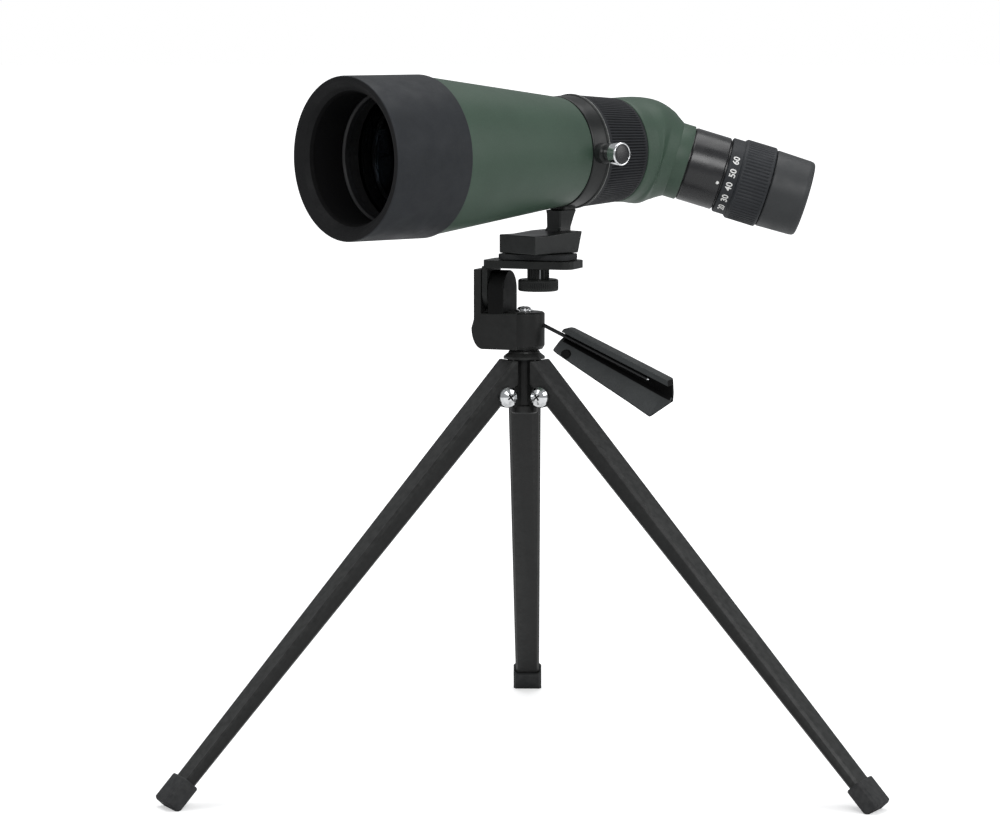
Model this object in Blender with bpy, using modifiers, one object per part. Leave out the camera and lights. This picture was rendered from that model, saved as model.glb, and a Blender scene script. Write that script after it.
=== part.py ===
"""A 60 mm angled spotting scope on a small table-top tripod.

The scope: a flared objective hood, a conical tube, a rotating tripod collar with
a foot, a ribbed focus ring, an elbow with the erecting prism in it, and a zoom
eyepiece. The tripod: three folding legs on a cast hub, a C-shaped pan bracket,
a tilting platform with its camera screw, and a handle on a steel rod.

Everything is written in millimetres and turned into metres by MM. The pan axis
is vertical. +Z is up and the three feet stand on Z = 0.
"""

import math

import bpy
import bmesh
from mathutils import Matrix, Vector

MM = 0.001

# where the vertical pan axis stands, so that the bounding box is centred on the origin
PAN_X, PAN_Y = 0.93, -40.215

# ---------------------------------------------------------------- directions
SCOPE_YAW = 42.25       # the optical axis, level, from the front rim to the rear
BEND = 45.0             # between the body axis and the eyepiece axis
BEND_ROLL = 24.3        # the eyepiece is turned this far below the horizontal
HEAD_YAW = -20.0        # the C-bracket's long direction
LEG_TURN = -0.6         # the whole leg spread about the pan axis
LEG_AZIMUTHS = (210.0, 330.0, 90.0)

# ---------------------------------------------------------------- scope body
FRONT = (-78.6, -79.8, 293.0)   # the centre of the hood's front rim
HOOD_R, HOOD_REAR_R, HOOD_LEN = 37.0, 37.1, 41.8
HOOD_BORE_R = 29.6
TUBE_R0, TUBE_R1 = 36.4, 25.8   # the cone at the hood and at the collar
TUBE_END = 126.0
CORE_R, CORE_IN = 23.3, 21.3    # the plain sleeve that carries the rings
RING_BORE = 23.6
COLLAR_S0, COLLAR_S1 = 126.4, 135.6
FOCUS_S0, FOCUS_S1 = 136.0, 163.0
HOUSING_S0 = 163.3
CROSSING = 181.3                # where the two optical axes meet
ELBOW_R = 27.0                  # the bend's centre line

# ---------------------------------------------------------------- eyepiece, along its own axis
SOCKET_END = 23.0
BARREL_R, BARREL_0, BARREL_1 = 17.8, 23.4, 41.1
NECK_R, NECK_END = 15.6, 75.5
ZOOM_0, ZOOM_STEP, ZOOM_1 = 41.9, 48.1, 63.5
CUP_0, CUP_1 = 63.9, 83.0

# ---------------------------------------------------------------- foot and head heights
FOOT_BOTTOM = 246.0
STUD_X = 7.0                    # the camera screw, along the head from the pan axis
BLOCK_Z0, BLOCK_Z1 = 200.4, 218.0
ARM_TOP = 238.2
TILT_Z = 227.8
PLATE_Z0, PLATE_Z1 = 238.9, 242.6
PAD_Z0, PAD_Z1 = 242.9, 245.6
EAR_0, EAR_1 = -18.0, -15.2      # the platform's ear, along the head, in the arm's slot
HEAD_HALF = 9.7                 # half the bracket's depth and the boss's radius

# ---------------------------------------------------------------- legs
LEG_SLOPE = 46.7                # below the horizontal
LEG_LINE = (17.1, 180.45)       # a point of the centre line: radius, height
PIVOT_R, PIVOT_Z = 13.3, 179.0
LEG_W0, LEG_W1 = 15.9, 12.4     # width at the top and at the foot
LEG_T0, LEG_T1 = 9.9, 5.4       # thickness at the top and at the foot
LUG_HALF = 3.0

# ================================================================ scene and helpers
for old in list(bpy.data.objects):
    bpy.data.objects.remove(old, do_unlink=True)

SHAPES = bpy.data.collections.new("spotting_scope")
CUTTERS = bpy.data.collections.new("cutters")
bpy.context.scene.collection.children.link(SHAPES)
bpy.context.scene.collection.children.link(CUTTERS)
CUTTERS.hide_render = True


def material(name, colour, metallic=0.0, roughness=0.5, transmission=0.0):
    mat = bpy.data.materials.new(name)
    mat.use_nodes = True
    bsdf = mat.node_tree.nodes["Principled BSDF"]
    bsdf.inputs["Base Color"].default_value = (*colour, 1.0)
    bsdf.inputs["Metallic"].default_value = metallic
    bsdf.inputs["Roughness"].default_value = roughness
    bsdf.inputs["Transmission Weight"].default_value = transmission
    mat.diffuse_color = (*colour, 1.0)
    return mat


GREEN = material("green_armour", (0.07, 0.115, 0.085), 0.0, 0.55)
RUBBER = material("black_rubber", (0.028, 0.030, 0.034), 0.0, 0.75)
PLASTIC = material("black_plastic", (0.022, 0.023, 0.025), 0.0, 0.5)
ENAMEL = material("black_enamel", (0.018, 0.019, 0.020), 0.2, 0.4)
CHROME = material("chrome_plate", (0.8, 0.8, 0.8), 1.0, 0.12)
BRASS = material("brass", (0.65, 0.47, 0.2), 1.0, 0.35)
ALUMINIUM = material("black_aluminium", (0.03, 0.03, 0.032), 0.8, 0.5)
GLASS = material("coated_glass", (0.8, 0.85, 0.9), 0.0, 0.02, 1.0)


def axes(origin, z, x=None):
    """A placement: local Z along z, local X as near as can be to x."""
    z = Vector(z).normalized()
    x = Vector(x) if x is not None else (Vector((1, 0, 0)) if abs(z.x) < 0.9 else Vector((0, 1, 0)))
    x = (x - x.dot(z) * z).normalized()
    y = z.cross(x)
    o = Vector(origin) + Vector((PAN_X, PAN_Y, 0))
    m = Matrix((x, y, z)).transposed().to_4x4()
    m.translation = o * MM
    return m


def add(name, mesh, place, mat, helper=False):
    obj = bpy.data.objects.new(name, mesh)
    (CUTTERS if helper else SHAPES).objects.link(obj)
    obj.matrix_world = place
    if helper:
        obj.hide_render = True
        obj.display_type = "WIRE"
    else:
        mesh.materials.append(mat)
    return obj


def turned(name, place, outline, mat=None, steps=48, helper=False, shift=0.0):
    """A turned piece about local Z. The outline is (radius, height), down the
    outer side first. It is closed on itself unless it begins and ends on the axis."""
    mesh = bpy.data.meshes.new(name)
    points = [(r * MM, 0.0, (z + shift) * MM) for r, z in outline]
    edges = [(i, i + 1) for i in range(len(points) - 1)]
    if outline[0][0] > 0:
        edges.append((len(points) - 1, 0))
    mesh.from_pydata(points, edges, [])
    obj = add(name, mesh, place, mat, helper)
    screw = obj.modifiers.new("turn", "SCREW")
    screw.axis = "Z"
    screw.angle = 2 * math.pi
    screw.steps = screw.render_steps = steps
    screw.use_merge_vertices = True
    screw.merge_threshold = 0.00001
    screw.use_smooth_shade = True
    return obj


def rod(name, place, radius, z0, z1, mat=None, steps=32, helper=False, chamfer=0.0):
    c = chamfer
    outline = [(0, z1), (radius - c, z1), (radius, z1 - c), (radius, z0 + c), (radius - c, z0), (0, z0)]
    if not c:
        outline = [(0, z1), (radius, z1), (radius, z0), (0, z0)]
    return turned(name, place, outline, mat, steps, helper)


def box(name, place, lo, hi, mat=None, bevel=0.0, segments=2, helper=False):
    mesh = bpy.data.meshes.new(name)
    bm = bmesh.new()
    bmesh.ops.create_cube(bm, size=1.0)
    for v in bm.verts:
        for i in range(3):
            v.co[i] = (lo[i] if v.co[i] < 0 else hi[i]) * MM
    bm.to_mesh(mesh)
    bm.free()
    obj = add(name, mesh, place, mat, helper)
    if bevel:
        b = obj.modifiers.new("edge", "BEVEL")
        b.width = bevel * MM
        b.segments = segments
        b.limit_method = "ANGLE"
    return obj


def loft(name, place, rings, mat=None, helper=False, closed=False):
    """A skin over rings of points, capped at both ends, or closed on itself as
    a tube wall when the last ring meets the first."""
    mesh = bpy.data.meshes.new(name)
    bm = bmesh.new()
    rows = [[bm.verts.new(Vector(p) * MM) for p in ring] for ring in rings]
    n = len(rows[0])
    pairs = list(zip(rows, rows[1:])) + ([(rows[-1], rows[0])] if closed else [])
    for a, b in pairs:
        for i in range(n):
            j = (i + 1) % n
            bm.faces.new((a[i], a[j], b[j], b[i]))
    if not closed:
        bm.faces.new(rows[0][::-1])
        bm.faces.new(rows[-1])
    bmesh.ops.recalc_face_normals(bm, faces=bm.faces)
    bm.to_mesh(mesh)
    bm.free()
    return add(name, mesh, place, mat, helper)


def slab(name, place, outline, z0, z1, mat=None, helper=False, bevel=0.0, segments=1):
    """A flat outline of (x, y) raised from z0 to z1."""
    rings = [[(x, y, z) for x, y in outline] for z in (z0, z1)]
    obj = loft(name, place, rings, mat, helper)
    if bevel:
        b = obj.modifiers.new("edge", "BEVEL")
        b.width = bevel * MM
        b.segments = segments
        b.limit_method = "ANGLE"
        b.angle_limit = math.radians(40)
    return obj


def boolean(obj, other, operation):
    m = obj.modifiers.new(operation.lower(), "BOOLEAN")
    m.operation = operation
    m.solver = "EXACT"
    m.object = other
    return obj


def cut(obj, other):
    return boolean(obj, other, "DIFFERENCE")


def join(obj, other):
    return boolean(obj, other, "UNION")


def smooth(obj):
    for face in obj.data.polygons:
        face.use_smooth = True
    return obj


def arc(cx, cy, r, a0, a1, n):
    return [
        (cx + r * math.cos(math.radians(a0 + (a1 - a0) * i / n)), cy + r * math.sin(math.radians(a0 + (a1 - a0) * i / n)))
        for i in range(n + 1)
    ]


def rounded(x0, y0, x1, y1, r, n=5):
    return (
        arc(x1 - r, y0 + r, r, -90, 0, n) + arc(x1 - r, y1 - r, r, 0, 90, n)
        + arc(x0 + r, y1 - r, r, 90, 180, n) + arc(x0 + r, y0 + r, r, 180, 270, n)
    )


# ================================================================ the main directions
yaw = math.radians(SCOPE_YAW)
AXIS = Vector((math.cos(yaw), math.sin(yaw), 0))        # front to rear
SIDE = Vector((math.sin(yaw), -math.cos(yaw), 0))       # level, across the body
DOWN = Vector((0, 0, -1))
SCOPE = axes(FRONT, AXIS, SIDE)                         # X across, Y down, Z rearward

roll = math.radians(BEND_ROLL)
TOWARD = math.cos(roll) * SIDE + math.sin(roll) * DOWN  # the side the eyepiece leans to
bend = math.radians(BEND)
EYE_AXIS = math.cos(bend) * AXIS + math.sin(bend) * TOWARD
EYE_X = -math.sin(bend) * AXIS + math.cos(bend) * TOWARD
CROSS = Vector(FRONT) + CROSSING * AXIS
EYE = axes(CROSS, EYE_AXIS, EYE_X)
ELBOW = axes(Vector(FRONT), TOWARD.cross(AXIS), AXIS)   # X rearward, Y opposite, Z across the bend

hy = math.radians(HEAD_YAW)
HEAD_DIR = Vector((math.cos(hy), math.sin(hy), 0))
HEAD = axes((0, 0, 0), (0, 0, 1), HEAD_DIR)
STUD = axes(STUD_X * HEAD_DIR, (0, 0, 1), HEAD_DIR)

# ================================================================ objective end
turned("objective_hood", SCOPE, [
    (HOOD_REAR_R - 0.3, HOOD_LEN), (HOOD_REAR_R, HOOD_LEN - 0.3), (HOOD_R, -1.0),
    (HOOD_R - 0.7, -1.8), (HOOD_R - 2.4, -1.8), (32.0, 0.2), (30.4, 2.4), (HOOD_BORE_R, 3.9),
    (HOOD_BORE_R, 20.0), (33.3, 20.0), (33.3, HOOD_LEN)], RUBBER, 40)

turned("front_tube", SCOPE, [
    (TUBE_R1 - 0.2, TUBE_END), (TUBE_R1, TUBE_END - 0.3), (TUBE_R0, HOOD_LEN + 0.6), (TUBE_R0 - 0.2, HOOD_LEN + 0.3),
    (33.0, HOOD_LEN + 0.3), (33.0, 20.4), (31.2, 20.4), (31.2, 38.6), (29.2, 38.6), (29.2, 40.6),
    (32.8, 46.0), (RING_BORE, 118.0), (RING_BORE, TUBE_END)], GREEN, 40)

turned("objective_retaining_ring", SCOPE, [
    (30.9, 24.0), (30.9, 21.0), (29.2, 20.7), (28.3, 21.4), (28.3, 24.0)], ALUMINIUM, 24)
turned("objective_spacer", SCOPE, [
    (30.9, 30.6), (30.9, 24.3), (29.3, 24.3), (29.3, 29.9)], ALUMINIUM, 24)
turned("objective_crown_lens", SCOPE, [
    (0, 36.0), (15, 35.43), (24, 34.55), (30.9, 33.6), (30.9, 31.0), (24, 29.61), (15, 28.32), (0, 27.5)], GLASS, 24)
turned("objective_flint_lens", SCOPE, [
    (0, 38.5), (30.9, 38.3), (30.9, 33.9), (24, 34.85), (15, 35.73), (0, 36.3)], GLASS, 24)

# ================================================================ the sleeve and its rings
core = turned("body_core", SCOPE, [
    (CORE_R, 169.5), (CORE_R, 119.0), (CORE_IN, 119.0), (CORE_IN, 169.5)], ALUMINIUM, 24)
cut(core, box("core_slot", SCOPE, (-1.5, -30.0, 141.0), (1.5, -18.0, 157.0), helper=True))

FOCUS_MID = 149.0
cell = turned("focus_lens_cell", SCOPE, [
    (21.0, FOCUS_MID + 3.5), (21.0, FOCUS_MID - 3.5), (15.5, FOCUS_MID - 3.5), (15.5, FOCUS_MID + 3.5)], ALUMINIUM, 24)
pin = axes(Vector(FRONT) + FOCUS_MID * AXIS, (0, 0, 1), SIDE)
join(cell, rod("focus_pin", pin, 1.1, 20.2, 23.35, steps=16, helper=True))
turned("focus_lens", SCOPE, [
    (0, FOCUS_MID + 1.0), (9, FOCUS_MID + 1.6), (15.2, FOCUS_MID + 3.0), (15.2, FOCUS_MID - 3.0),
    (9, FOCUS_MID - 1.6), (0, FOCUS_MID - 1.0)], GLASS, 24)

turned("focus_ring", SCOPE, [
    (24.4, FOCUS_S1), (24.7, FOCUS_S1 - 0.4), (26.7, FOCUS_S0 + 0.7), (26.3, FOCUS_S0),
    (RING_BORE, FOCUS_S0), (RING_BORE, FOCUS_S1)], RUBBER, 40)

# ================================================================ collar, stem and foot
LOCK_S = 131.0
collar = turned("tripod_collar", SCOPE, [
    (26.5, COLLAR_S1), (26.9, COLLAR_S1 - 0.5), (26.2, COLLAR_S0 + 0.4), (25.9, COLLAR_S0),
    (RING_BORE, COLLAR_S0), (RING_BORE, COLLAR_S1)], PLASTIC, 40)
boss_at = axes(Vector(FRONT) + LOCK_S * AXIS, SIDE, AXIS)
join(collar, rod("collar_boss", boss_at, 4.5, 24.6, 30.0, steps=24, helper=True, chamfer=0.4))
# the stem: its neck under the ring, then a post that narrows at the rear
join(collar, box("stem_neck", SCOPE, (-4.9, 24.8, 126.8), (4.9, 29.0, 135.0), helper=True))
join(collar, loft("stem_post", SCOPE, [
    [(-5.4, 27.4, 124.0), (5.4, 27.4, 124.0), (5.4, 27.4, 135.2), (-5.4, 27.4, 135.2)],
    [(-4.9, 29.4, 124.2), (4.9, 29.4, 124.2), (4.9, 29.4, 134.4), (-4.9, 29.4, 134.4)],
    [(-4.7, 35.4, 124.2), (4.7, 35.4, 124.2), (4.7, 35.4, 132.2), (-4.7, 35.4, 132.2)],
    [(-6.6, 38.4, 122.0), (6.6, 38.4, 122.0), (6.6, 38.4, 131.0), (-6.6, 38.4, 131.0)]], helper=True))
FOOT_Y = FRONT[2] - FOOT_BOTTOM
foot_side = axes(FRONT, SIDE, AXIS)                     # X rearward, Y up, Z across
foot = slab("foot_block", foot_side, [
    (101.4, -FOOT_Y), (129.3, -FOOT_Y), (131.9, -36.9), (122.0, -37.2), (110.0, -38.3), (101.4, -38.3)],
    -12.4, 12.4, helper=True, bevel=0.7)
join(collar, foot)
insert_bore = rod("insert_bore", STUD, 4.6, FOOT_BOTTOM - 1.0, FOOT_BOTTOM + 7.2, steps=24, helper=True)
cut(collar, insert_bore)
cut(collar, rod("lock_bore", boss_at, 2.3, 22.0, 32.0, steps=16, helper=True))
turned("collar_thread_insert", STUD, [
    (4.3, FOOT_BOTTOM + 6.9), (4.3, FOOT_BOTTOM + 0.3), (3.4, FOOT_BOTTOM + 0.3), (3.4, FOOT_BOTTOM + 6.9)], BRASS, 24)

turned("collar_lock_screw", boss_at, [
    (0, 38.2), (3.6, 38.2), (3.9, 40.0), (4.8, 40.2), (5.4, 39.6), (5.4, 35.6), (4.8, 34.6), (2.9, 33.8),
    (2.9, 30.4), (2.0, 30.4), (2.0, 23.7), (0, 23.7)], CHROME, 24)

# ================================================================ elbow housing and prism
SEG = 30


def elbow_ring(angle, radius, ahead=0.0):
    """A circle across the bend's centre line. Before the bend ahead is negative,
    after it positive, and it runs straight on."""
    s0 = CROSSING - ELBOW_R * math.tan(bend / 2)
    a = math.radians(angle)
    x = s0 + ELBOW_R * math.sin(a)
    y = -ELBOW_R * (1 - math.cos(a))
    x += ahead * math.cos(a)
    y += -ahead * math.sin(a)
    ring = []
    for i in range(SEG):
        t = 2 * math.pi * i / SEG
        u, w = radius * math.cos(t), radius * math.sin(t)
        ring.append((x + u * math.sin(a), y + u * math.cos(a), w))
    return ring


BEND_START = CROSSING - ELBOW_R * math.tan(bend / 2)
BEND_END = ELBOW_R * math.tan(bend / 2)                 # from the crossing, along the eyepiece
outer = [
    elbow_ring(0, 24.5, HOUSING_S0 - BEND_START), elbow_ring(0, 24.8, HOUSING_S0 + 0.4 - BEND_START),
    elbow_ring(0, 25.1), elbow_ring(9, 25.5), elbow_ring(18, 25.7), elbow_ring(27, 25.4), elbow_ring(36, 24.1),
    elbow_ring(45, 22.0), elbow_ring(45, 20.7, 13.1 - BEND_END), elbow_ring(45, 19.4, 15.0 - BEND_END),
    elbow_ring(45, 18.5, 16.6 - BEND_END), elbow_ring(45, 18.2, 16.8 - BEND_END), elbow_ring(45, 18.2, SOCKET_END - 0.3 - BEND_END),
    elbow_ring(45, 17.9, SOCKET_END - BEND_END)]
inner = [
    elbow_ring(45, 16.6, SOCKET_END - BEND_END), elbow_ring(45, 16.6, 16.0 - BEND_END),
    elbow_ring(45, 18.0), elbow_ring(36, 19.8), elbow_ring(27, 21.2), elbow_ring(18, 22.2), elbow_ring(9, 22.8),
    elbow_ring(0, RING_BORE, -0.3), elbow_ring(0, RING_BORE, HOUSING_S0 - BEND_START)]
smooth(loft("prism_housing", ELBOW, outer + inner, GREEN, closed=True))

slab("erecting_prism", ELBOW, [
    (172.6, 11.6), (172.6, -11.6), (180.9, -11.6), (193.6, 1.2), (187.6, 9.6)], -11.6, 11.6, GLASS)
plate = [(171.2, 9.0), (171.2, -9.0), (180.0, -9.0), (189.6, 1.6), (185.6, 8.0)]
slab("prism_plate_near", ELBOW, plate, -13.3, -11.9, ALUMINIUM)
slab("prism_plate_far", ELBOW, plate, 11.9, 13.3, ALUMINIUM)

# ================================================================ zoom eyepiece
turned("eyepiece_barrel", EYE, [
    (NECK_R, NECK_END), (NECK_R, BARREL_1), (BARREL_R - 0.4, BARREL_1), (BARREL_R, BARREL_1 - 0.4),
    (BARREL_R, BARREL_0 + 0.3), (BARREL_R - 0.3, BARREL_0), (16.3, BARREL_0), (16.3, 16.6), (14.0, 16.6), (14.0, NECK_END)],
    PLASTIC, 32)
turned("field_lens", EYE, [
    (0, 22.4), (8, 22.0), (13.7, 20.9), (13.7, 18.6), (0, 18.4)], GLASS, 24)
turned("zoom_ring", EYE, [
    (19.2, ZOOM_1), (19.6, ZOOM_1 - 0.4), (19.6, ZOOM_STEP + 0.5), (19.1, ZOOM_STEP), (18.6, ZOOM_STEP - 0.1),
    (18.4, ZOOM_0 + 0.3), (18.1, ZOOM_0), (15.9, ZOOM_0), (15.9, ZOOM_1)], RUBBER, 32)
ZOOM_MID = 50.0
turned("zoom_lens_cell", EYE, [
    (13.7, ZOOM_MID + 3), (13.7, ZOOM_MID - 3), (11.0, ZOOM_MID - 3), (11.0, ZOOM_MID + 3)], ALUMINIUM, 24)
turned("zoom_lens", EYE, [
    (0, ZOOM_MID + 2.4), (6, ZOOM_MID + 2.1), (10.7, ZOOM_MID + 1.2), (10.7, ZOOM_MID - 1.2),
    (6, ZOOM_MID - 2.1), (0, ZOOM_MID - 2.4)], GLASS, 24)
turned("eye_lens", EYE, [
    (0, 72.4), (13.7, 72.0), (13.7, 69.4), (8, 67.9), (0, 67.0)], GLASS, 24)
turned("eye_lens_retainer", EYE, [
    (13.7, 75.2), (13.7, 72.7), (11.8, 72.7), (11.2, 75.2)], ALUMINIUM, 24)
turned("eyecup", EYE, [
    (16.9, CUP_1), (18.0, CUP_1 - 0.5), (18.4, CUP_1 - 1.6), (18.8, CUP_0 + 0.4), (18.5, CUP_0),
    (15.9, CUP_0), (15.9, 76.4), (12.4, 76.4), (12.4, 77.6), (15.4, 80.6), (16.0, CUP_1 - 0.4)], RUBBER, 32)

# ================================================================ platform and camera screw
platform = slab("tilt_platform", HEAD, rounded(-17.9, -11.0, 26.8, 11.0, 5.0), PLATE_Z0, PLATE_Z1, PLASTIC, bevel=0.5)
across = axes((0, 0, 0), HEAD_DIR, (0, 0, 1))           # X up, Y across the head, Z along it
ear = [(PLATE_Z0 + 0.8, -9.4)] + [(TILT_Z - 9.4 * math.sin(math.radians(a)), 9.4 * -math.cos(math.radians(a)))
                                  for a in range(0, 181, 20)] + [(PLATE_Z0 + 0.8, 9.4)]
join(platform, slab("platform_ear", across, ear, EAR_0, EAR_1, helper=True))
cut(platform, slab("platform_slot", HEAD, rounded(2.0, -3.5, 14.0, 3.5, 3.49, 6), 236.0, 246.0, helper=True))
cut(platform, rod("ear_bore", axes((0, 0, TILT_Z), HEAD_DIR, (0, 0, 1)), 2.8, EAR_0 - 2.0, EAR_1 + 2.0, steps=24, helper=True))

pad = slab("platform_pad", HEAD, rounded(-10.6, -9.6, 24.2, 9.6, 4.0), PAD_Z0, PAD_Z1, RUBBER, bevel=0.9)
cut(pad, slab("pad_slot", HEAD, rounded(1.6, -3.9, 14.4, 3.9, 3.89, 6), 240.0, 248.0, helper=True))

turned("camera_screw", STUD, [
    (0, 252.2), (2.6, 252.2), (3.0, 251.8), (3.0, 238.5), (4.7, 238.5), (4.7, 233.6), (9.0, 233.6), (9.5, 233.1),
    (9.5, 228.6), (9.0, 228.1), (0, 228.1)], PLASTIC, 24)

# ================================================================ pan bracket
LEFT = -23.2
corner = arc(0, 0, 1, 270, 180, 6)
profile = [(0.0, BLOCK_Z0)] + [(LEFT + 5.5 + 5.5 * x, BLOCK_Z0 + 10.0 + 10.0 * y) for x, y in corner] + [
    (LEFT + 1.2, 214.5), (LEFT + 1.2, ARM_TOP), (EAR_0 - 0.3, ARM_TOP), (EAR_0 - 0.3, BLOCK_Z1 - 0.6), (-12.0, BLOCK_Z1 - 0.6), (0.0, BLOCK_Z1)]
upright = axes((0, 0, 0), HEAD_DIR.cross(Vector((0, 0, 1))), HEAD_DIR)   # X along the head, Y up
bracket = slab("pan_bracket", upright, profile, -HEAD_HALF, HEAD_HALF, ENAMEL, bevel=0.5, segments=2)
lug = [(BLOCK_Z1 - 4, -HEAD_HALF), (TILT_Z, -HEAD_HALF)] + [
    (TILT_Z + HEAD_HALF * math.sin(math.radians(a)), -HEAD_HALF * math.cos(math.radians(a))) for a in range(20, 161, 20)
] + [(TILT_Z, HEAD_HALF), (BLOCK_Z1 - 4, HEAD_HALF)]
join(bracket, slab("arm_lug", across, lug, EAR_1 + 0.3, -7.1, helper=True))
join(bracket, rod("pan_boss", HEAD, HEAD_HALF, BLOCK_Z0, BLOCK_Z1, steps=32, helper=True, chamfer=1.0))
cut(bracket, rod("pan_bore", HEAD, 2.8, 195.0, 225.0, steps=24, helper=True))
cut(bracket, rod("tilt_bore", axes((0, 0, TILT_Z), HEAD_DIR, (0, 0, 1)), 2.8, -27.0, -9.0, steps=24, helper=True))
turned("tilt_pin", axes((0, 0, TILT_Z), HEAD_DIR, (0, 0, 1)), [
    (0, -9.4), (2.1, -9.4), (2.5, -9.8), (2.5, -21.5), (0, -21.5)], ALUMINIUM, 24)

turned("pan_washer", HEAD, [(4.2, 218.9), (4.2, 218.3), (2.8, 218.3), (2.8, 218.9)], CHROME, 24)
turned("pan_screw", HEAD, [
    (0, 220.6), (1.4, 220.6), (2.7, 220.2), (3.3, 219.5), (3.3, 219.2), (2.4, 219.2), (2.4, 192.4), (0, 192.4)], CHROME, 20)

# ================================================================ handle
ROD_DROP = 24.5
drop = math.radians(ROD_DROP)
ROD_DIR = math.cos(drop) * HEAD_DIR + Vector((0, 0, -math.sin(drop)))
ROD_AT = 9.7 * HEAD_DIR + Vector((0, 0, 211.9))
ROD_R = 0.9
NEAR = Vector((HEAD_DIR.y, -HEAD_DIR.x, 0))             # level, across the handle
HANDLE = axes(ROD_AT, ROD_DIR, ROD_DIR.cross(NEAR) * -1)
cut(bracket, rod("rod_bore", HANDLE, ROD_R + 0.35, -6.0, 4.0, steps=16, helper=True))
rod("handle_rod", HANDLE, ROD_R, -5.6, 57.0, CHROME, steps=16)


def grip_ring(a, top, low, k, bow=0.0):
    """The grip's section at a along the rod: a top rail, the groove the rod lies
    in, and a lower wall that leans out. k opens the groove."""
    pts = [
        (top, -4.6), (top, 3.6), (top - 0.5, 4.2), (1.4, 4.2), (1.4, -2.2), (-2.0 - 1.6 * k, -2.2),
        (-3.2 - 1.8 * k, 1.0), (low + 0.6, 5.4 + 1.0 * k), (low, 5.2 + 0.8 * k), (low, 3.4 + 0.6 * k),
        (-3.6 - 1.6 * k, -3.0), (-2.0, -4.6)]
    return [(u, w, a - bow * abs(u - (top + low) / 2) / (top - low) * 2) for u, w in pts]


grip = loft("handle_grip", HANDLE, [
    grip_ring(10.6, 3.2, -8.4, 0.0), grip_ring(13.0, 4.3, -8.9, 0.0), grip_ring(40.0, 4.4, -12.0, 0.5),
    grip_ring(66.0, 4.4, -15.0, 1.0, 0.0), grip_ring(71.6, 4.2, -14.8, 1.0, 5.0)], PLASTIC)

# ================================================================ hub
PAN = axes((0, 0, 0), (0, 0, 1), (1, 0, 0))
hub = turned("hub", PAN, [
    (2.8, 199.8), (6.9, 199.8), (7.3, 199.4), (7.6, 198.7), (9.8, 197.0), (9.8, 195.9), (5.4, 195.8), (5.4, 174.2),
    (6.4, 173.6), (6.4, 170.6), (5.8, 170.0), (2.8, 170.0)], ENAMEL, 24)
d = math.radians(LEG_SLOPE)
RADIAL = (math.cos(d), -math.sin(d))                    # along the leg, in radius and height
OUTWARD = (math.sin(d), math.cos(d))                    # across it, on its outer face
LEGS = ("left", "right", "back")


def leg_plane(azimuth):
    """X outward from the pan axis, Y up, Z level and across the leg."""
    a = math.radians(azimuth + LEG_TURN)
    out = Vector((math.cos(a), math.sin(a), 0))
    return axes((0, 0, 0), out.cross(Vector((0, 0, 1))), out)


def pivot_axes(azimuth):
    a = math.radians(azimuth + LEG_TURN)
    out = Vector((math.cos(a), math.sin(a), 0))
    return axes(PIVOT_R * out + Vector((0, 0, PIVOT_Z)), out.cross(Vector((0, 0, 1))), out)


for name, azimuth in zip(LEGS, LEG_AZIMUTHS):
    plane = leg_plane(azimuth)
    lug_line = [(3.0, 172.4), (PIVOT_R, PIVOT_Z - 5.0)] + arc(PIVOT_R, PIVOT_Z, 5.0, -70, 60, 6) + [(3.0, 190.0)]
    join(hub, slab("hub_lug_" + name, plane, lug_line, -LUG_HALF, LUG_HALF, helper=True))
for name, azimuth in zip(LEGS, LEG_AZIMUTHS):
    cut(hub, rod("lug_bore_" + name, pivot_axes(azimuth), 2.1, -6.0, 6.0, steps=16, helper=True))


def leg_point(along, across):
    """Radius and height of a point of the leg: along from LEG_LINE, across outward."""
    return (LEG_LINE[0] + along * RADIAL[0] + across * OUTWARD[0], LEG_LINE[1] + along * RADIAL[1] + across * OUTWARD[1])


def leg_section(along, half, thick, place_z=None):
    """Eight corners of the leg's bar with its edges chamfered."""
    c = 1.2
    t = thick / 2
    ring = []
    for across, z in ((-t, -half + c), (-t, half - c), (-t + c, half), (t - c, half), (t, half - c), (t, -half + c), (t - c, -half), (-t + c, -half)):
        x, y = leg_point(along, across)
        ring.append((x, y, z))
    return ring


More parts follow.
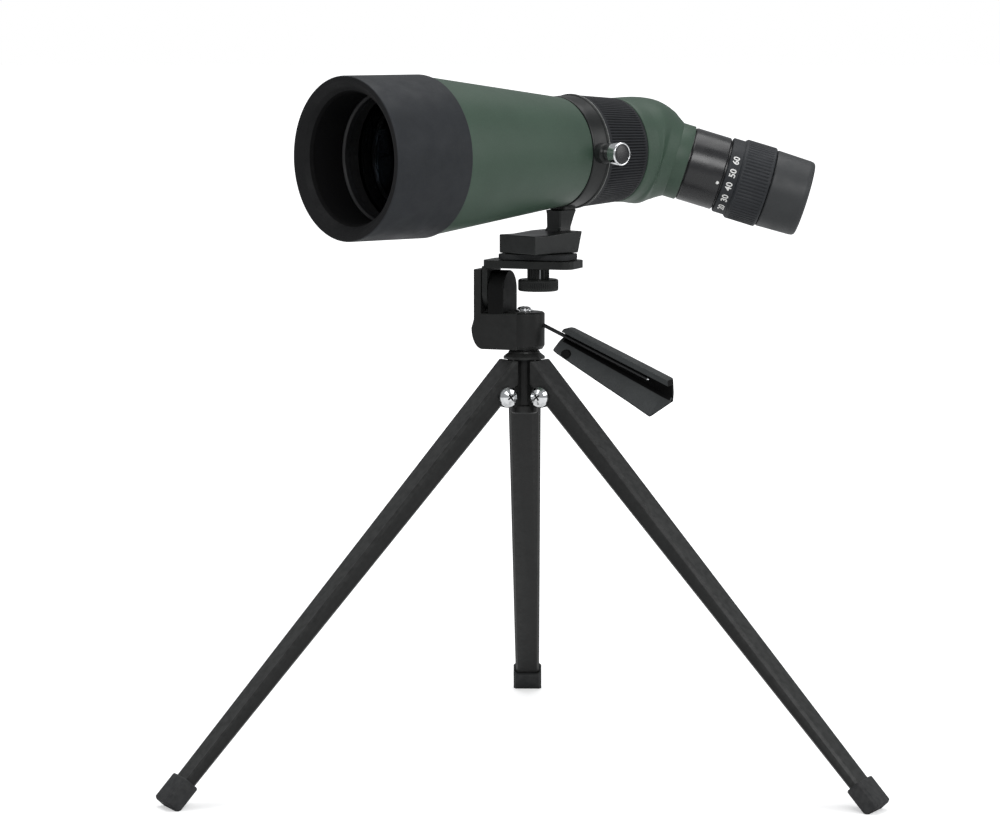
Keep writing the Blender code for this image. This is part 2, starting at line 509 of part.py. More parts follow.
LEG_A0, LEG_A1 = -19.0, 236.0
FOOT_A0, FOOT_A1 = 231.6, 245.8
for name, azimuth in zip(LEGS, LEG_AZIMUTHS):
    plane = leg_plane(azimuth)
    pivot = pivot_axes(azimuth)
    head_side = -1 if name == "left" else 1
    rings = [leg_section(LEG_A0, LEG_W0 / 2, LEG_T0), leg_section(LEG_A1, LEG_W1 / 2, LEG_T1)]
    rings = [[(x - PIVOT_R, y - PIVOT_Z, z) for x, y, z in ring] for ring in rings]
    leg = loft("leg_" + name, pivot, rings, ENAMEL)
    # cheeks round the pivot, then the end trimmed clear of the hub
    join(leg, rod("leg_cheek_" + name, pivot, 5.2, -LEG_W0 / 2 + 0.1, LEG_W0 / 2 - 0.1, steps=24, helper=True))
    cut(leg, box("leg_trim_" + name, plane, (-12.0, 165.0, -12.0), (7.8, 215.0, 12.0), helper=True))
    cut(leg, box("leg_top_" + name, plane, (-12.0, 195.4, -12.0), (30.0, 215.0, 12.0), helper=True))
    # the slot that the hub's lug fills, open to the inner side
    lo, hi = -LUG_HALF - 0.3, LUG_HALF + 0.3
    slot = loft("leg_slot_" + name, plane, [
        [(*leg_point(a, 1.8), z) for a, z in ((-34.0, lo), (-34.0, hi), (9.0, hi), (9.0, lo))],
        [(*leg_point(a, -16.0), z) for a, z in ((-34.0, lo), (-34.0, hi), (9.0, hi), (9.0, lo))]], helper=True)
    cut(leg, slot)
    cut(leg, rod("leg_bore_" + name, pivot, 2.1, -12.0, 12.0, steps=16, helper=True))

    # rubber foot: a block across the leg's end, cut level where it stands
    half, thick = 7.4, 8.6
    rings = [leg_section(FOOT_A0, half - 0.3, thick - 0.6), leg_section(FOOT_A0 + 0.6, half, thick),
             leg_section(FOOT_A1 - 0.8, half, thick), leg_section(FOOT_A1, half - 0.8, thick - 1.6)]
    rings = [[(x - PIVOT_R, y - PIVOT_Z, z) for x, y, z in ring] for ring in rings]
    shoe = loft("foot_" + name, pivot, rings, RUBBER)
    socket = [leg_section(FOOT_A0 - 6.0, LEG_W1 / 2 + 0.35, LEG_T1 + 0.7), leg_section(LEG_A1 + 0.4, LEG_W1 / 2 + 0.3, LEG_T1 + 0.6)]
    cut(shoe, loft("shoe_socket_" + name, plane, socket, helper=True))
    cut(shoe, box("floor_" + name, plane, (150.0, -20.0, -20.0), (220.0, 0.0, 20.0), helper=True))

    s = head_side
    bolt_place = axes(pivot.translation / MM - Vector((PAN_X, PAN_Y, 0)), (pivot.to_3x3() @ Vector((0, 0, s))), (0, 0, 1))
    turned("leg_bolt_" + name, bolt_place, [
        (0, 11.2), (1.8, 11.0), (3.6, 10.3), (4.7, 9.2), (4.9, 8.6), (4.9, 8.25), (1.8, 8.25), (1.8, -11.0), (0, -11.0)], CHROME, 20)
    nut = [(4.6 * math.cos(math.radians(60 * i)), 4.6 * math.sin(math.radians(60 * i))) for i in range(6)]
    nut_obj = slab("leg_nut_" + name, bolt_place, nut, -10.7, -8.25, CHROME)
    cut(nut_obj, rod("nut_bore_" + name, bolt_place, 2.1, -12.0, -6.0, steps=16, helper=True))
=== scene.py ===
"""The looks of the spotting scope and its table-top tripod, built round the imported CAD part.

Lengths are in millimetres until MM turns them into metres. Every piece is made
in the row frame, with its place in its vertices.
"""

import math
import random

import bpy
import bmesh
from mathutils import Matrix, Vector


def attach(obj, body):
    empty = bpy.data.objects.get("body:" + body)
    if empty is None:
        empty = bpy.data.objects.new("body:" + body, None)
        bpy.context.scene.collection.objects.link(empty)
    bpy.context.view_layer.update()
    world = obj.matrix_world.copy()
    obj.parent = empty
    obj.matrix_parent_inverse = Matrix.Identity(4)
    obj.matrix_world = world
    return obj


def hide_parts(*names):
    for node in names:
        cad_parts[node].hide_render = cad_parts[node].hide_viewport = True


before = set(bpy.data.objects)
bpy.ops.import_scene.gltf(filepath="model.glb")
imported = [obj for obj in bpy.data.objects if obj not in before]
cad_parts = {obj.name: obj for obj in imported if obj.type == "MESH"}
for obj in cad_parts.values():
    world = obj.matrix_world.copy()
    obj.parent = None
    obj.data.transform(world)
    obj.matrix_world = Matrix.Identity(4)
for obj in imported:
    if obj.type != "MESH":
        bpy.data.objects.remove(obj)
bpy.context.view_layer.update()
MM = 0.001
random.seed(7)

# ---------------------------------------------------------------- places, as in the CAD
PAN = Vector((0.93, -40.215, 0.0))
FRONT = Vector((-78.6, -79.8, 293.0))
yaw, roll, bend = math.radians(42.25), math.radians(24.3), math.radians(45.0)
AXIS = Vector((math.cos(yaw), math.sin(yaw), 0))
SIDE = Vector((math.sin(yaw), -math.cos(yaw), 0))
TOWARD = math.cos(roll) * SIDE + Vector((0, 0, -math.sin(roll)))
EYE_AXIS = math.cos(bend) * AXIS + math.sin(bend) * TOWARD
CROSSING = 181.3
CROSS = FRONT + CROSSING * AXIS
hy = math.radians(-20.0)
HEAD_DIR = Vector((math.cos(hy), math.sin(hy), 0))
NEAR = Vector((HEAD_DIR.y, -HEAD_DIR.x, 0))
drop = math.radians(24.5)
ROD_DIR = math.cos(drop) * HEAD_DIR + Vector((0, 0, -math.sin(drop)))
ROD_AT = 9.7 * HEAD_DIR + Vector((0, 0, 211.9))
UP = Vector((0, 0, 1))


def axes(origin, z, x=None):
    z = Vector(z).normalized()
    x = Vector(x) if x is not None else (Vector((1, 0, 0)) if abs(z.x) < 0.9 else Vector((0, 1, 0)))
    x = (x - x.dot(z) * z).normalized()
    m = Matrix((x, z.cross(x), z)).transposed().to_4x4()
    m.translation = Vector(origin) + PAN
    return m


SCOPE = axes(FRONT, AXIS, SIDE)
EYE = axes(CROSS, EYE_AXIS, -math.sin(bend) * AXIS + math.cos(bend) * TOWARD)
ELBOW = axes(FRONT, TOWARD.cross(AXIS), AXIS)
HEAD = axes((0, 0, 0), UP, HEAD_DIR)
STUD = axes(7.0 * HEAD_DIR, UP, HEAD_DIR)
HANDLE = axes(ROD_AT, ROD_DIR, ROD_DIR.cross(NEAR) * -1)
ACROSS = axes((0, 0, 0), HEAD_DIR, UP)                        # X up, Y across the head, Z along it
UPRIGHT = axes((0, 0, 0), HEAD_DIR.cross(UP), HEAD_DIR)       # X along the head, Y up
BOSS = axes(FRONT + 131.0 * AXIS, SIDE, AXIS)
FOOT_SIDE = axes(FRONT, SIDE, AXIS)

# ---------------------------------------------------------------- materials


def nodes_of(mat):
    return mat.node_tree.nodes, mat.node_tree.links


def surface(name, colour, rough, metallic=0.0, grain=0.0, grain_size=0.4, grain_kind="NOISE", mottle=0.12,
            mottle_size=14.0, rough_var=0.08, wear=0.0, wear_colour=(0.2, 0.2, 0.2), specular=0.5, dust=0.0, coat=0.0):
    """A moulded, painted or plated surface: mottled colour, uneven gloss, a fine grain
    in the bump, paler edges where it is handled, and a little dust on what faces up."""
    mat = bpy.data.materials.new(name)
    mat.use_nodes = True
    n, l = nodes_of(mat)
    bsdf = n["Principled BSDF"]
    bsdf.inputs["Metallic"].default_value = metallic
    bsdf.inputs["Specular IOR Level"].default_value = specular
    if coat:
        bsdf.inputs["Coat Weight"].default_value = coat
        bsdf.inputs["Coat Roughness"].default_value = 0.12
    coords = n.new("ShaderNodeTexCoord")

    def noise(size_mm, detail=3.0, roughness=0.55):
        node = n.new("ShaderNodeTexNoise")
        node.inputs["Scale"].default_value = 1000.0 / size_mm
        node.inputs["Detail"].default_value = detail
        node.inputs["Roughness"].default_value = roughness
        l.new(coords.outputs["Object"], node.inputs["Vector"])
        return node.outputs["Fac"]

    def ramp(source, lo, hi, at=(0.3, 0.7)):
        node = n.new("ShaderNodeMapRange")
        node.inputs["From Min"].default_value, node.inputs["From Max"].default_value = at
        node.inputs["To Min"].default_value, node.inputs["To Max"].default_value = lo, hi
        l.new(source, node.inputs["Value"])
        return node.outputs["Result"]

    def mix(fac, a, b):
        node = n.new("ShaderNodeMix")
        node.data_type = "RGBA"
        if isinstance(fac, float):
            node.inputs["Factor"].default_value = fac
        else:
            l.new(fac, node.inputs["Factor"])
        for socket, value in ((node.inputs[6], a), (node.inputs[7], b)):
            if isinstance(value, tuple):
                socket.default_value = (*value, 1.0)
            else:
                l.new(value, socket)
        return node.outputs[2]

    dark = tuple(c * (1 - mottle) for c in colour)
    light = tuple(min(1.0, c * (1 + mottle)) for c in colour)
    out = mix(ramp(noise(mottle_size), 0.0, 1.0), dark, light)
    fine = noise(max(grain_size * 2.5, 0.6), 2.0)
    out = mix(ramp(fine, 0.0, 0.35, (0.5, 0.8)), out, tuple(min(1.0, c * 1.35 + 0.002) for c in colour))
    if wear:
        geo = n.new("ShaderNodeNewGeometry")
        edge = ramp(geo.outputs["Pointiness"], 0.0, wear, (0.52, 0.62))
        broken = n.new("ShaderNodeMath")
        broken.operation = "MULTIPLY"
        l.new(edge, broken.inputs[0])
        l.new(ramp(noise(3.0), 0.3, 1.0, (0.35, 0.6)), broken.inputs[1])
        out = mix(broken.outputs[0], out, wear_colour)
    if dust:
        geo = n.new("ShaderNodeNewGeometry")
        split = n.new("ShaderNodeSeparateXYZ")
        l.new(geo.outputs["Normal"], split.inputs[0])
        lying = ramp(split.outputs["Z"], 0.0, dust, (0.55, 1.0))
        specks = n.new("ShaderNodeMath")
        specks.operation = "MULTIPLY"
        l.new(lying, specks.inputs[0])
        l.new(ramp(noise(1.6, 4.0, 0.7), 0.2, 1.0, (0.4, 0.75)), specks.inputs[1])
        out = mix(specks.outputs[0], out, (0.42, 0.42, 0.40))
    l.new(out, bsdf.inputs["Base Color"])
    l.new(ramp(noise(mottle_size * 0.6), rough - rough_var, rough + rough_var), bsdf.inputs["Roughness"])
    if grain:
        bump = n.new("ShaderNodeBump")
        bump.inputs["Distance"].default_value = 0.0002
        bump.inputs["Strength"].default_value = grain
        if grain_kind == "VORONOI":
            cells = n.new("ShaderNodeTexVoronoi")
            cells.feature = "SMOOTH_F1"
            cells.inputs["Scale"].default_value = 1000.0 / grain_size
            l.new(coords.outputs["Object"], cells.inputs["Vector"])
            height = cells.outputs["Distance"]
        else:
            height = noise(grain_size, 2.0)
        l.new(height, bump.inputs["Height"])
        l.new(bump.outputs["Normal"], bsdf.inputs["Normal"])
    return mat


GREEN = surface("green_satin", (0.041, 0.071, 0.050), 0.44, grain=0.10, grain_size=0.32, mottle=0.06, mottle_size=22, rough_var=0.04, dust=0.03, specular=0.34)
HOOD = surface("hood_rubber", (0.0150, 0.0172, 0.0205), 0.58, grain=0.22, grain_size=0.35, mottle=0.10, wear=0.25, wear_colour=(0.06, 0.062, 0.066), dust=0.02, specular=0.28)
RUBBER = surface("rib_rubber", (0.0115, 0.0125, 0.0150), 0.55, grain=0.18, grain_size=0.3, mottle=0.12, wear=0.35, wear_colour=(0.055, 0.057, 0.06), dust=0.04, specular=0.28)
ZOOM = surface("zoom_rubber", (0.0180, 0.0200, 0.0235), 0.55, grain=0.18, grain_size=0.3, mottle=0.12, wear=0.3, wear_colour=(0.055, 0.058, 0.064), dust=0.02, specular=0.32)
CUP = surface("cup_rubber", (0.022, 0.024, 0.026), 0.50, grain=0.14, grain_size=0.3, mottle=0.10, wear=0.2, wear_colour=(0.06, 0.062, 0.065), dust=0.03)
SHOE = surface("shoe_rubber", (0.020, 0.021, 0.022), 0.68, grain=0.3, grain_size=0.5, mottle=0.2, wear=0.4, wear_colour=(0.07, 0.07, 0.07), dust=0.05, specular=0.2)
SATIN = surface("barrel_satin", (0.0135, 0.0135, 0.0150), 0.27, grain=0.05, grain_size=0.25, mottle=0.08, rough_var=0.05, wear=0.25, wear_colour=(0.05, 0.05, 0.052))
COLLAR = surface("collar_plastic", (0.0115, 0.0125, 0.0125), 0.33, grain=0.08, grain_size=0.3, mottle=0.1, rough_var=0.05, wear=0.3, wear_colour=(0.06, 0.065, 0.065), specular=0.3)
PLASTIC = surface("head_plastic", (0.0120, 0.0128, 0.0124), 0.42, grain=0.25, grain_size=0.45, grain_kind="VORONOI", mottle=0.12, wear=0.3, wear_colour=(0.05, 0.052, 0.05), dust=0.03, specular=0.22)
GRIP = surface("grip_plastic", (0.034, 0.037, 0.038), 0.48, grain=0.32, grain_size=0.5, grain_kind="VORONOI", mottle=0.14, wear=0.3, wear_colour=(0.07, 0.072, 0.073), dust=0.03, specular=0.25)
ENAMEL = surface("black_paint", (0.0115, 0.0118, 0.0116), 0.40, grain=0.16, grain_size=0.9, mottle=0.10, mottle_size=18, rough_var=0.06, wear=0.45, wear_colour=(0.06, 0.061, 0.06), dust=0.03, specular=0.24)
# Near-black painted shade: the bracket's inner lug, the crosses on the leg bolts and the handle's fork pin are drawn in
# it to stand for shade.
SHADE = surface("painted_shade_black", (0.0035, 0.0036, 0.0036), 0.5, grain=0.16, grain_size=0.9, mottle=0.10, specular=0.12)
CHROME = surface("chrome", (0.80, 0.81, 0.82), 0.10, metallic=1.0, grain=0.03, grain_size=1.2, mottle=0.03, rough_var=0.04)
STEEL = surface("dark_rod", (0.020, 0.020, 0.021), 0.30, metallic=0.4, grain=0.04, grain_size=0.6, mottle=0.15, rough_var=0.06)
SEAM_HIGHLIGHT = surface("collar_seam_painted_highlight", (0.22, 0.225, 0.22), 0.35, metallic=0.6, grain=0.04, grain_size=0.6, mottle=0.1)
BRASS = surface("brass", (0.62, 0.43, 0.17), 0.30, metallic=1.0, grain=0.06, grain_size=0.8, mottle=0.1)
# Near-black: the hood's inner lining, and painted shade in the handle grip's groove.
LINING_AND_GROOVE_SHADE = surface("hood_lining_and_grip_groove_shade", (0.0018, 0.0018, 0.0020), 0.80, grain=0.1, grain_size=0.4, mottle=0.15, specular=0.12)
RIM = surface("hood_rim", (0.0030, 0.0032, 0.0038), 0.66, grain=0.18, grain_size=0.35, mottle=0.12, specular=0.25)
INNER = surface("inner_black", (0.003, 0.003, 0.0035), 0.70, metallic=0.0, grain=0.12, grain_size=0.4, mottle=0.15)
RETAINER = surface("retainer_black", (0.006, 0.006, 0.007), 0.50, metallic=0.0, grain=0.06, grain_size=0.3, mottle=0.15)
INK = surface("white_print", (0.78, 0.78, 0.76), 0.55, grain=0.1, grain_size=0.2, mottle=0.08, mottle_size=1.5)


def glass(name, tint, roughness=0.02, coat=(0.45, 0.62, 0.75)):
    """Coated optical glass: clear, with a faintly coloured sheen that grows towards grazing."""
    mat = bpy.data.materials.new(name)
    mat.use_nodes = True
    n, l = nodes_of(mat)
    bsdf = n["Principled BSDF"]
    bsdf.inputs["Transmission Weight"].default_value = 1.0
    bsdf.inputs["IOR"].default_value = 1.52
    bsdf.inputs["Specular IOR Level"].default_value = 0.05
    bsdf.inputs["Specular Tint"].default_value = (*coat, 1.0)
    coords = n.new("ShaderNodeTexCoord")
    smear = n.new("ShaderNodeTexNoise")
    smear.inputs["Scale"].default_value = 70.0
    smear.inputs["Detail"].default_value = 4.0
    l.new(coords.outputs["Object"], smear.inputs["Vector"])
    ramp = n.new("ShaderNodeMapRange")
    ramp.inputs["To Min"].default_value = roughness
    ramp.inputs["To Max"].default_value = roughness + 0.03
    l.new(smear.outputs["Fac"], ramp.inputs["Value"])
    l.new(ramp.outputs["Result"], bsdf.inputs["Roughness"])
    tone = n.new("ShaderNodeMix")
    tone.data_type = "RGBA"
    l.new(smear.outputs["Fac"], tone.inputs["Factor"])
    tone.inputs[6].default_value = (*tint, 1.0)
    tone.inputs[7].default_value = (*(min(1.0, c * 1.03) for c in tint), 1.0)
    l.new(tone.outputs[2], bsdf.inputs["Base Color"])
    return mat


GLASS = glass("coated_glass", (0.80, 0.88, 0.92))
DARK_GLASS = glass("front_glass", (0.16, 0.18, 0.20), coat=(0.35, 0.42, 0.5))

# ---------------------------------------------------------------- mesh helpers


def piece(name, verts, faces, place, mat, body, stands_for=(), sharp=32.0):
    """A mesh with its place in its vertices, riding on a CAD body."""
    mesh = bpy.data.meshes.new(name)
    mesh.from_pydata([(place @ Vector(v)) * MM for v in verts], [], faces)
    bm = bmesh.new()
    bm.from_mesh(mesh)
    bmesh.ops.recalc_face_normals(bm, faces=bm.faces)
    bm.to_mesh(mesh)
    bm.free()
    mesh.materials.append(mat)
    mesh.polygons.foreach_set("use_smooth", [True] * len(mesh.polygons))
    if sharp:
        mesh.set_sharp_from_angle(angle=math.radians(sharp))
    obj = bpy.data.objects.new(name, mesh)
    bpy.context.scene.collection.objects.link(obj)
    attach(obj, body)
    if stands_for:
        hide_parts(*stands_for)
    return obj


def eased(outline, closed, steps=4):
    """A line of (x, y) or (x, y, radius) with the corners that have a radius rounded."""
    out = []
    count = len(outline)
    for i, p in enumerate(outline):
        r = p[2] if len(p) > 2 else 0.0
        here = Vector(p[:2])
        if not r or (not closed and i in (0, count - 1)):
            out.append(tuple(here))
            continue
        a = Vector(outline[i - 1][:2]) - here
        b = Vector(outline[(i + 1) % count][:2]) - here
        half = a.angle(b) / 2
        if half > math.radians(88):
            out.append(tuple(here))
            continue
        reach = min(r / math.tan(half), a.length * 0.48, b.length * 0.48)
        r = reach * math.tan(half)
        middle = here + (a.normalized() + b.normalized()).normalized() * (r / math.sin(half))
        start, end = here + a.normalized() * reach - middle, here + b.normalized() * reach - middle
        swing = start.angle_signed(end)
        for k in range(steps + 1):
            t = -swing * k / steps
            c, s = math.cos(t), math.sin(t)
            out.append((middle.x + start.x * c - start.y * s, middle.y + start.x * s + start.y * c))
    return out


def turn(name, place, outline, mat, body, segs=160, stands_for=(), sharp=32.0, ribs=None):
    """A turned piece. The outline of (radius, height[, easing]) is closed on itself, or
    begins and ends on the axis. ribs=(count, depth, z0, z1) presses grooves into
    what lies between z0 and z1 beyond the radius it is given."""
    on_axis = outline[0][0] == 0
    line = eased(outline, not on_axis)
    if ribs:
        count, depth, z0, z1, least = ribs
        wave = (0.0, 0.0, 0.0, 0.12, 0.8, 1.0, 0.8, 0.12)
        segs = count * len(wave)
        fine = []
        for i, p in enumerate(line):
            q = line[(i + 1) % len(line)]
            fine.append(p)
            if not on_axis or i + 1 < len(line):
                if p[0] > least and q[0] > least and abs(p[1] - q[1]) > 2.0:
                    for z in (z0, z0 + 0.7 if z1 > z0 else z0 - 0.7, z1 - 0.7 if z1 > z0 else z1 + 0.7, z1):
                        t = (z - p[1]) / (q[1] - p[1])
                        if 0 < t < 1:
                            fine.append((p[0] + (q[0] - p[0]) * t, z, "rib"))
                    tail = [f for f in fine if len(f) > 2 and min(p[1], q[1]) < f[1] < max(p[1], q[1])]
                    fine = [f for f in fine if f not in tail] + sorted(tail, key=lambda f: abs(f[1] - p[1]))
        line = fine
    verts, faces, rows = [], [], []
    for p in line:
        r, z = p[0], p[1]
        if r < 1e-6:
            rows.append([len(verts)])
            verts.append((0, 0, z))
            continue
        row = []
        for j in range(segs):
            a = 2 * math.pi * j / segs
            rr = r
            if ribs and r > least and min(z0, z1) < z < max(z0, z1):
                edge = min(abs(z - z0), abs(z - z1)) / 0.7
                rr = r - depth * wave[j % len(wave)] * min(1.0, edge)
            row.append(len(verts))
            verts.append((rr * math.cos(a), rr * math.sin(a), z))
        rows.append(row)
    pairs = list(zip(rows, rows[1:])) + ([] if on_axis else [(rows[-1], rows[0])])
    for a, b in pairs:
        for j in range(segs):
            k = (j + 1) % segs
            if len(a) == 1 and len(b) == 1:
                continue
            if len(a) == 1:
                faces.append((a[0], b[k], b[j]))
            elif len(b) == 1:
                faces.append((a[j], a[k], b[0]))
            else:
                faces.append((a[j], a[k], b[k], b[j]))
    return piece(name, verts, faces, place, mat, body, stands_for, sharp)


def skin(name, place, rings, mat, body, stands_for=(), slot=None, closed=False, edge=0.0, edge_segs=3, sharp=32.0, limit=30.0):
    """A skin over rings of points, capped or closed on itself, with eased edges."""
    n = len(rings[0])
    verts = [tuple(p) for ring in rings for p in ring]
    faces = []
    last = len(rings) if closed else len(rings) - 1
    for i in range(last):
        for j in range(n):
            a, b = i * n, ((i + 1) % len(rings)) * n
            faces.append((a + j, a + (j + 1) % n, b + (j + 1) % n, b + j))
    if not closed:
        faces.append(tuple(range(n))[::-1])
        faces.append(tuple((len(rings) - 1) * n + j for j in range(n)))
    obj = piece(name, verts, faces, place, mat, body, stands_for, 0 if edge else sharp)
    if edge:
        ease(obj, edge, edge_segs, limit)
    return obj


def ease(obj, width, segs=3, limit=30.0):
    b = obj.modifiers.new("edges", "BEVEL")
    b.width = width * MM
    b.segments = segs
    b.limit_method = "ANGLE"
    b.angle_limit = math.radians(limit)
    b.use_clamp_overlap = True
    w = obj.modifiers.new("flat", "WEIGHTED_NORMAL")
    w.mode = "FACE_AREA"
    w.weight = 100
    w.keep_sharp = False
    return obj


def slab(name, place, outline, z0, z1, mat, body, **more):
    return skin(name, place, [[(x, y, z) for x, y in outline] for z in (z0, z1)], mat, body, **more)


def arc(cx, cy, r, a0, a1, n):
    return [(cx + r * math.cos(math.radians(a0 + (a1 - a0) * i / n)), cy + r * math.sin(math.radians(a0 + (a1 - a0) * i / n)))
            for i in range(n + 1)]


def rounded(x0, y0, x1, y1, r, n=10):
    return (arc(x1 - r, y0 + r, r, -90, 0, n) + arc(x1 - r, y1 - r, r, 0, 90, n)
            + arc(x0 + r, y1 - r, r, 90, 180, n) + arc(x0 + r, y0 + r, r, 180, 270, n))


def cutter(name, place, outline, z0, z1):
    """A hidden solid for a Boolean, and gone again once it is used."""
    mesh = bpy.data.meshes.new(name)
    n = len(outline)
    verts = [(place @ Vector((x, y, z))) * MM for z in (z0, z1) for x, y in outline]
    faces = [(j, (j + 1) % n, n + (j + 1) % n, n + j) for j in range(n)] + [tuple(range(n))[::-1], tuple(range(n, 2 * n))]
    mesh.from_pydata(verts, [], faces)
    bm = bmesh.new()
    bm.from_mesh(mesh)
    bmesh.ops.recalc_face_normals(bm, faces=bm.faces)
    bm.to_mesh(mesh)
    bm.free()
    obj = bpy.data.objects.new(name, mesh)
    bpy.context.scene.collection.objects.link(obj)
    return obj


def carve(obj, *tools, operation="DIFFERENCE"):
    """Boolean cuts made for good, before the edges are eased."""
    for tool in tools:
        m = obj.modifiers.new("cut", "BOOLEAN")
        m.operation, m.solver, m.object = operation, "EXACT", tool
    bpy.context.view_layer.update()
    graph = bpy.context.evaluated_depsgraph_get()
    made = bpy.data.meshes.new_from_object(obj.evaluated_get(graph))
    obj.modifiers.clear()
    old = obj.data
    obj.data = made
    bpy.data.meshes.remove(old)
    for tool in tools:
        data = tool.data
        bpy.data.objects.remove(tool)
        bpy.data.meshes.remove(data)
    return obj


def lettering(name, text, size, wrap, mat, body, bold=0.0):
    """Numbers wrapped on a surface: wrap(x, y) gives the point for a spot of the flat text, and its outward normal."""
    curve = bpy.data.curves.new(name, "FONT")
    curve.body = text
    curve.size = size
    curve.align_x, curve.align_y = "CENTER", "CENTER"
    curve.resolution_u = 4
    curve.offset = bold
    holder = bpy.data.objects.new(name + "_flat", curve)
    bpy.context.scene.collection.objects.link(holder)
    bpy.context.view_layer.update()
    flat = bpy.data.meshes.new_from_object(holder.evaluated_get(bpy.context.evaluated_depsgraph_get()))
    bpy.data.objects.remove(holder)
    bpy.data.curves.remove(curve)
    bm = bmesh.new()
    bm.from_mesh(flat)
    bmesh.ops.triangulate(bm, faces=bm.faces)
    bmesh.ops.remove_doubles(bm, verts=bm.verts, dist=1e-5)
    verts = [tuple(v.co) for v in bm.verts]
    faces = [tuple(v.index for v in f.verts) for f in bm.faces]
    rim = [tuple(v.index for v in e.verts) for e in bm.edges if e.is_boundary]
    bm.free()
    bpy.data.meshes.remove(flat)
    n = len(verts)
    top, base = [], []
    for x, y, _ in verts:
        point, normal = wrap(x, y)
        top.append(point + normal * 0.06)
        base.append(point - normal * 0.05)
    everything = faces + [tuple(i + n for i in f[::-1]) for f in faces] + [(a, b, b + n, a + n) for a, b in rim]
    return piece(name, top + base, everything, Matrix.Translation(PAN), mat, body, sharp=40.0)


def give(node, mat, edge=0.0, sharp=30.0):
    """A CAD node that stays: it gets its material, and eased edges where asked."""
    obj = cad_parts[node]
    obj.data.materials.clear()
    obj.data.materials.append(mat)
    obj.data.polygons.foreach_set("use_smooth", [True] * len(obj.data.polygons))
    obj.data.set_sharp_from_angle(angle=math.radians(sharp))
    if edge:
        ease(obj, edge, 2, 35.0)
    return obj


# ================================================================ objective end
hood = turn("hood_shell", SCOPE, [
    (37.1, 41.8, 0.6), (37.0, -1.8, 0.7), (34.6, -1.8, 0.6), (32.0, 0.2, 0.8), (30.4, 2.4, 0.8),
    (29.6, 3.9, 0.6), (29.6, 20.0), (33.3, 20.0), (33.3, 41.8)],
    HOOD, "scope", segs=200, stands_for=["objective_hood"])
hood.data.materials.append(LINING_AND_GROOVE_SHADE)
hood.data.materials.append(RIM)
back = SCOPE.inverted()
for face in hood.data.polygons:
    at = back @ (face.center / MM)
    away = math.hypot(at.x, at.y)
    if at.z < 3.0 and away < 36.6:
        face.material_index = 2
    elif away < 33.2:
        face.material_index = 1
turn("tube_shell", SCOPE, [
    (25.6, 126.0, 0.25), (25.85, 125.5, 0.3), (36.4, 42.0, 0.3), (36.2, 41.88), (33.0, 41.88), (33.0, 20.4), (31.2, 20.4), (31.2, 38.6),
    (29.2, 38.6), (29.2, 40.6), (32.8, 46.0), (23.6, 118.0), (23.6, 126.0)],
    GREEN, "scope", segs=200, stands_for=["front_tube"])
turn("retaining_ring", SCOPE, [
    (30.9, 24.0), (30.9, 20.9, 0.2), (29.3, 20.6, 0.3), (28.4, 21.5, 0.2), (28.3, 24.0)],
    RETAINER, "scope", segs=128, stands_for=["objective_retaining_ring"])
turn("front_lens", SCOPE, [
    (0, 36.0), (10, 35.78), (20, 34.98), (27, 34.1), (30.9, 33.6), (30.9, 31.0), (27, 30.24), (22, 29.3), (15, 28.32), (8, 27.72), (0, 27.5)],
    DARK_GLASS, "scope", segs=128, stands_for=["objective_crown_lens"], sharp=50)
turn("second_lens", SCOPE, [
    (0, 38.5), (30.9, 38.3), (30.9, 33.9), (27, 34.42), (20, 35.3), (10, 36.1), (0, 36.3)],
    DARK_GLASS, "scope", segs=128, stands_for=["objective_flint_lens"], sharp=50)

# ================================================================ collar, focus ring
turn("collar_ring", SCOPE, [
    (26.5, 135.6, 0.15), (26.9, 135.2, 0.15), (26.85, 134.8, 0.1), (26.45, 134.6, 0.1), (26.35, 130.0), (26.1, 126.8, 0.4), (25.8, 126.4, 0.2),
    (23.6, 126.4), (23.6, 135.6)],
    COLLAR, "collar", segs=200, stands_for=["tripod_collar"])
# A thin pale metal ring at the collar's rear edge: a painted highlight for the bright seam line between collar and
# focus ring.
turn("collar_seam", SCOPE, [
    (26.4, 136.05, 0.05), (27.15, 135.95, 0.1), (27.15, 135.7, 0.1), (26.4, 135.6, 0.05)],
    SEAM_HIGHLIGHT, "collar", segs=200)
turn("collar_boss", BOSS, [
    (2.3, 30.0, 0.15), (4.3, 30.0, 0.3), (4.7, 29.5, 0.3), (4.8, 24.6), (2.3, 24.6)],
    COLLAR, "collar", segs=64)
turn("focus_grip", SCOPE, [
    (24.5, 163.0, 0.3), (24.8, 162.4, 0.3), (26.6, 136.9, 0.3), (26.3, 136.0, 0.25), (23.6, 136.0), (23.6, 163.0)],
    RUBBER, "focus_ring_body", stands_for=["focus_ring"], ribs=(114, 0.75, 161.6, 138.2, 24.0), sharp=40)

FOOT_Y = 293.0 - 246.0


def post_ring(half, y, z0, z1, c):
    return [(-half, y, z0 + c), (-half + c, y, z0), (half - c, y, z0), (half, y, z0 + c), (half, y, z1 - c), (half - c, y, z1), (-half + c, y, z1), (-half, y, z1 - c)]


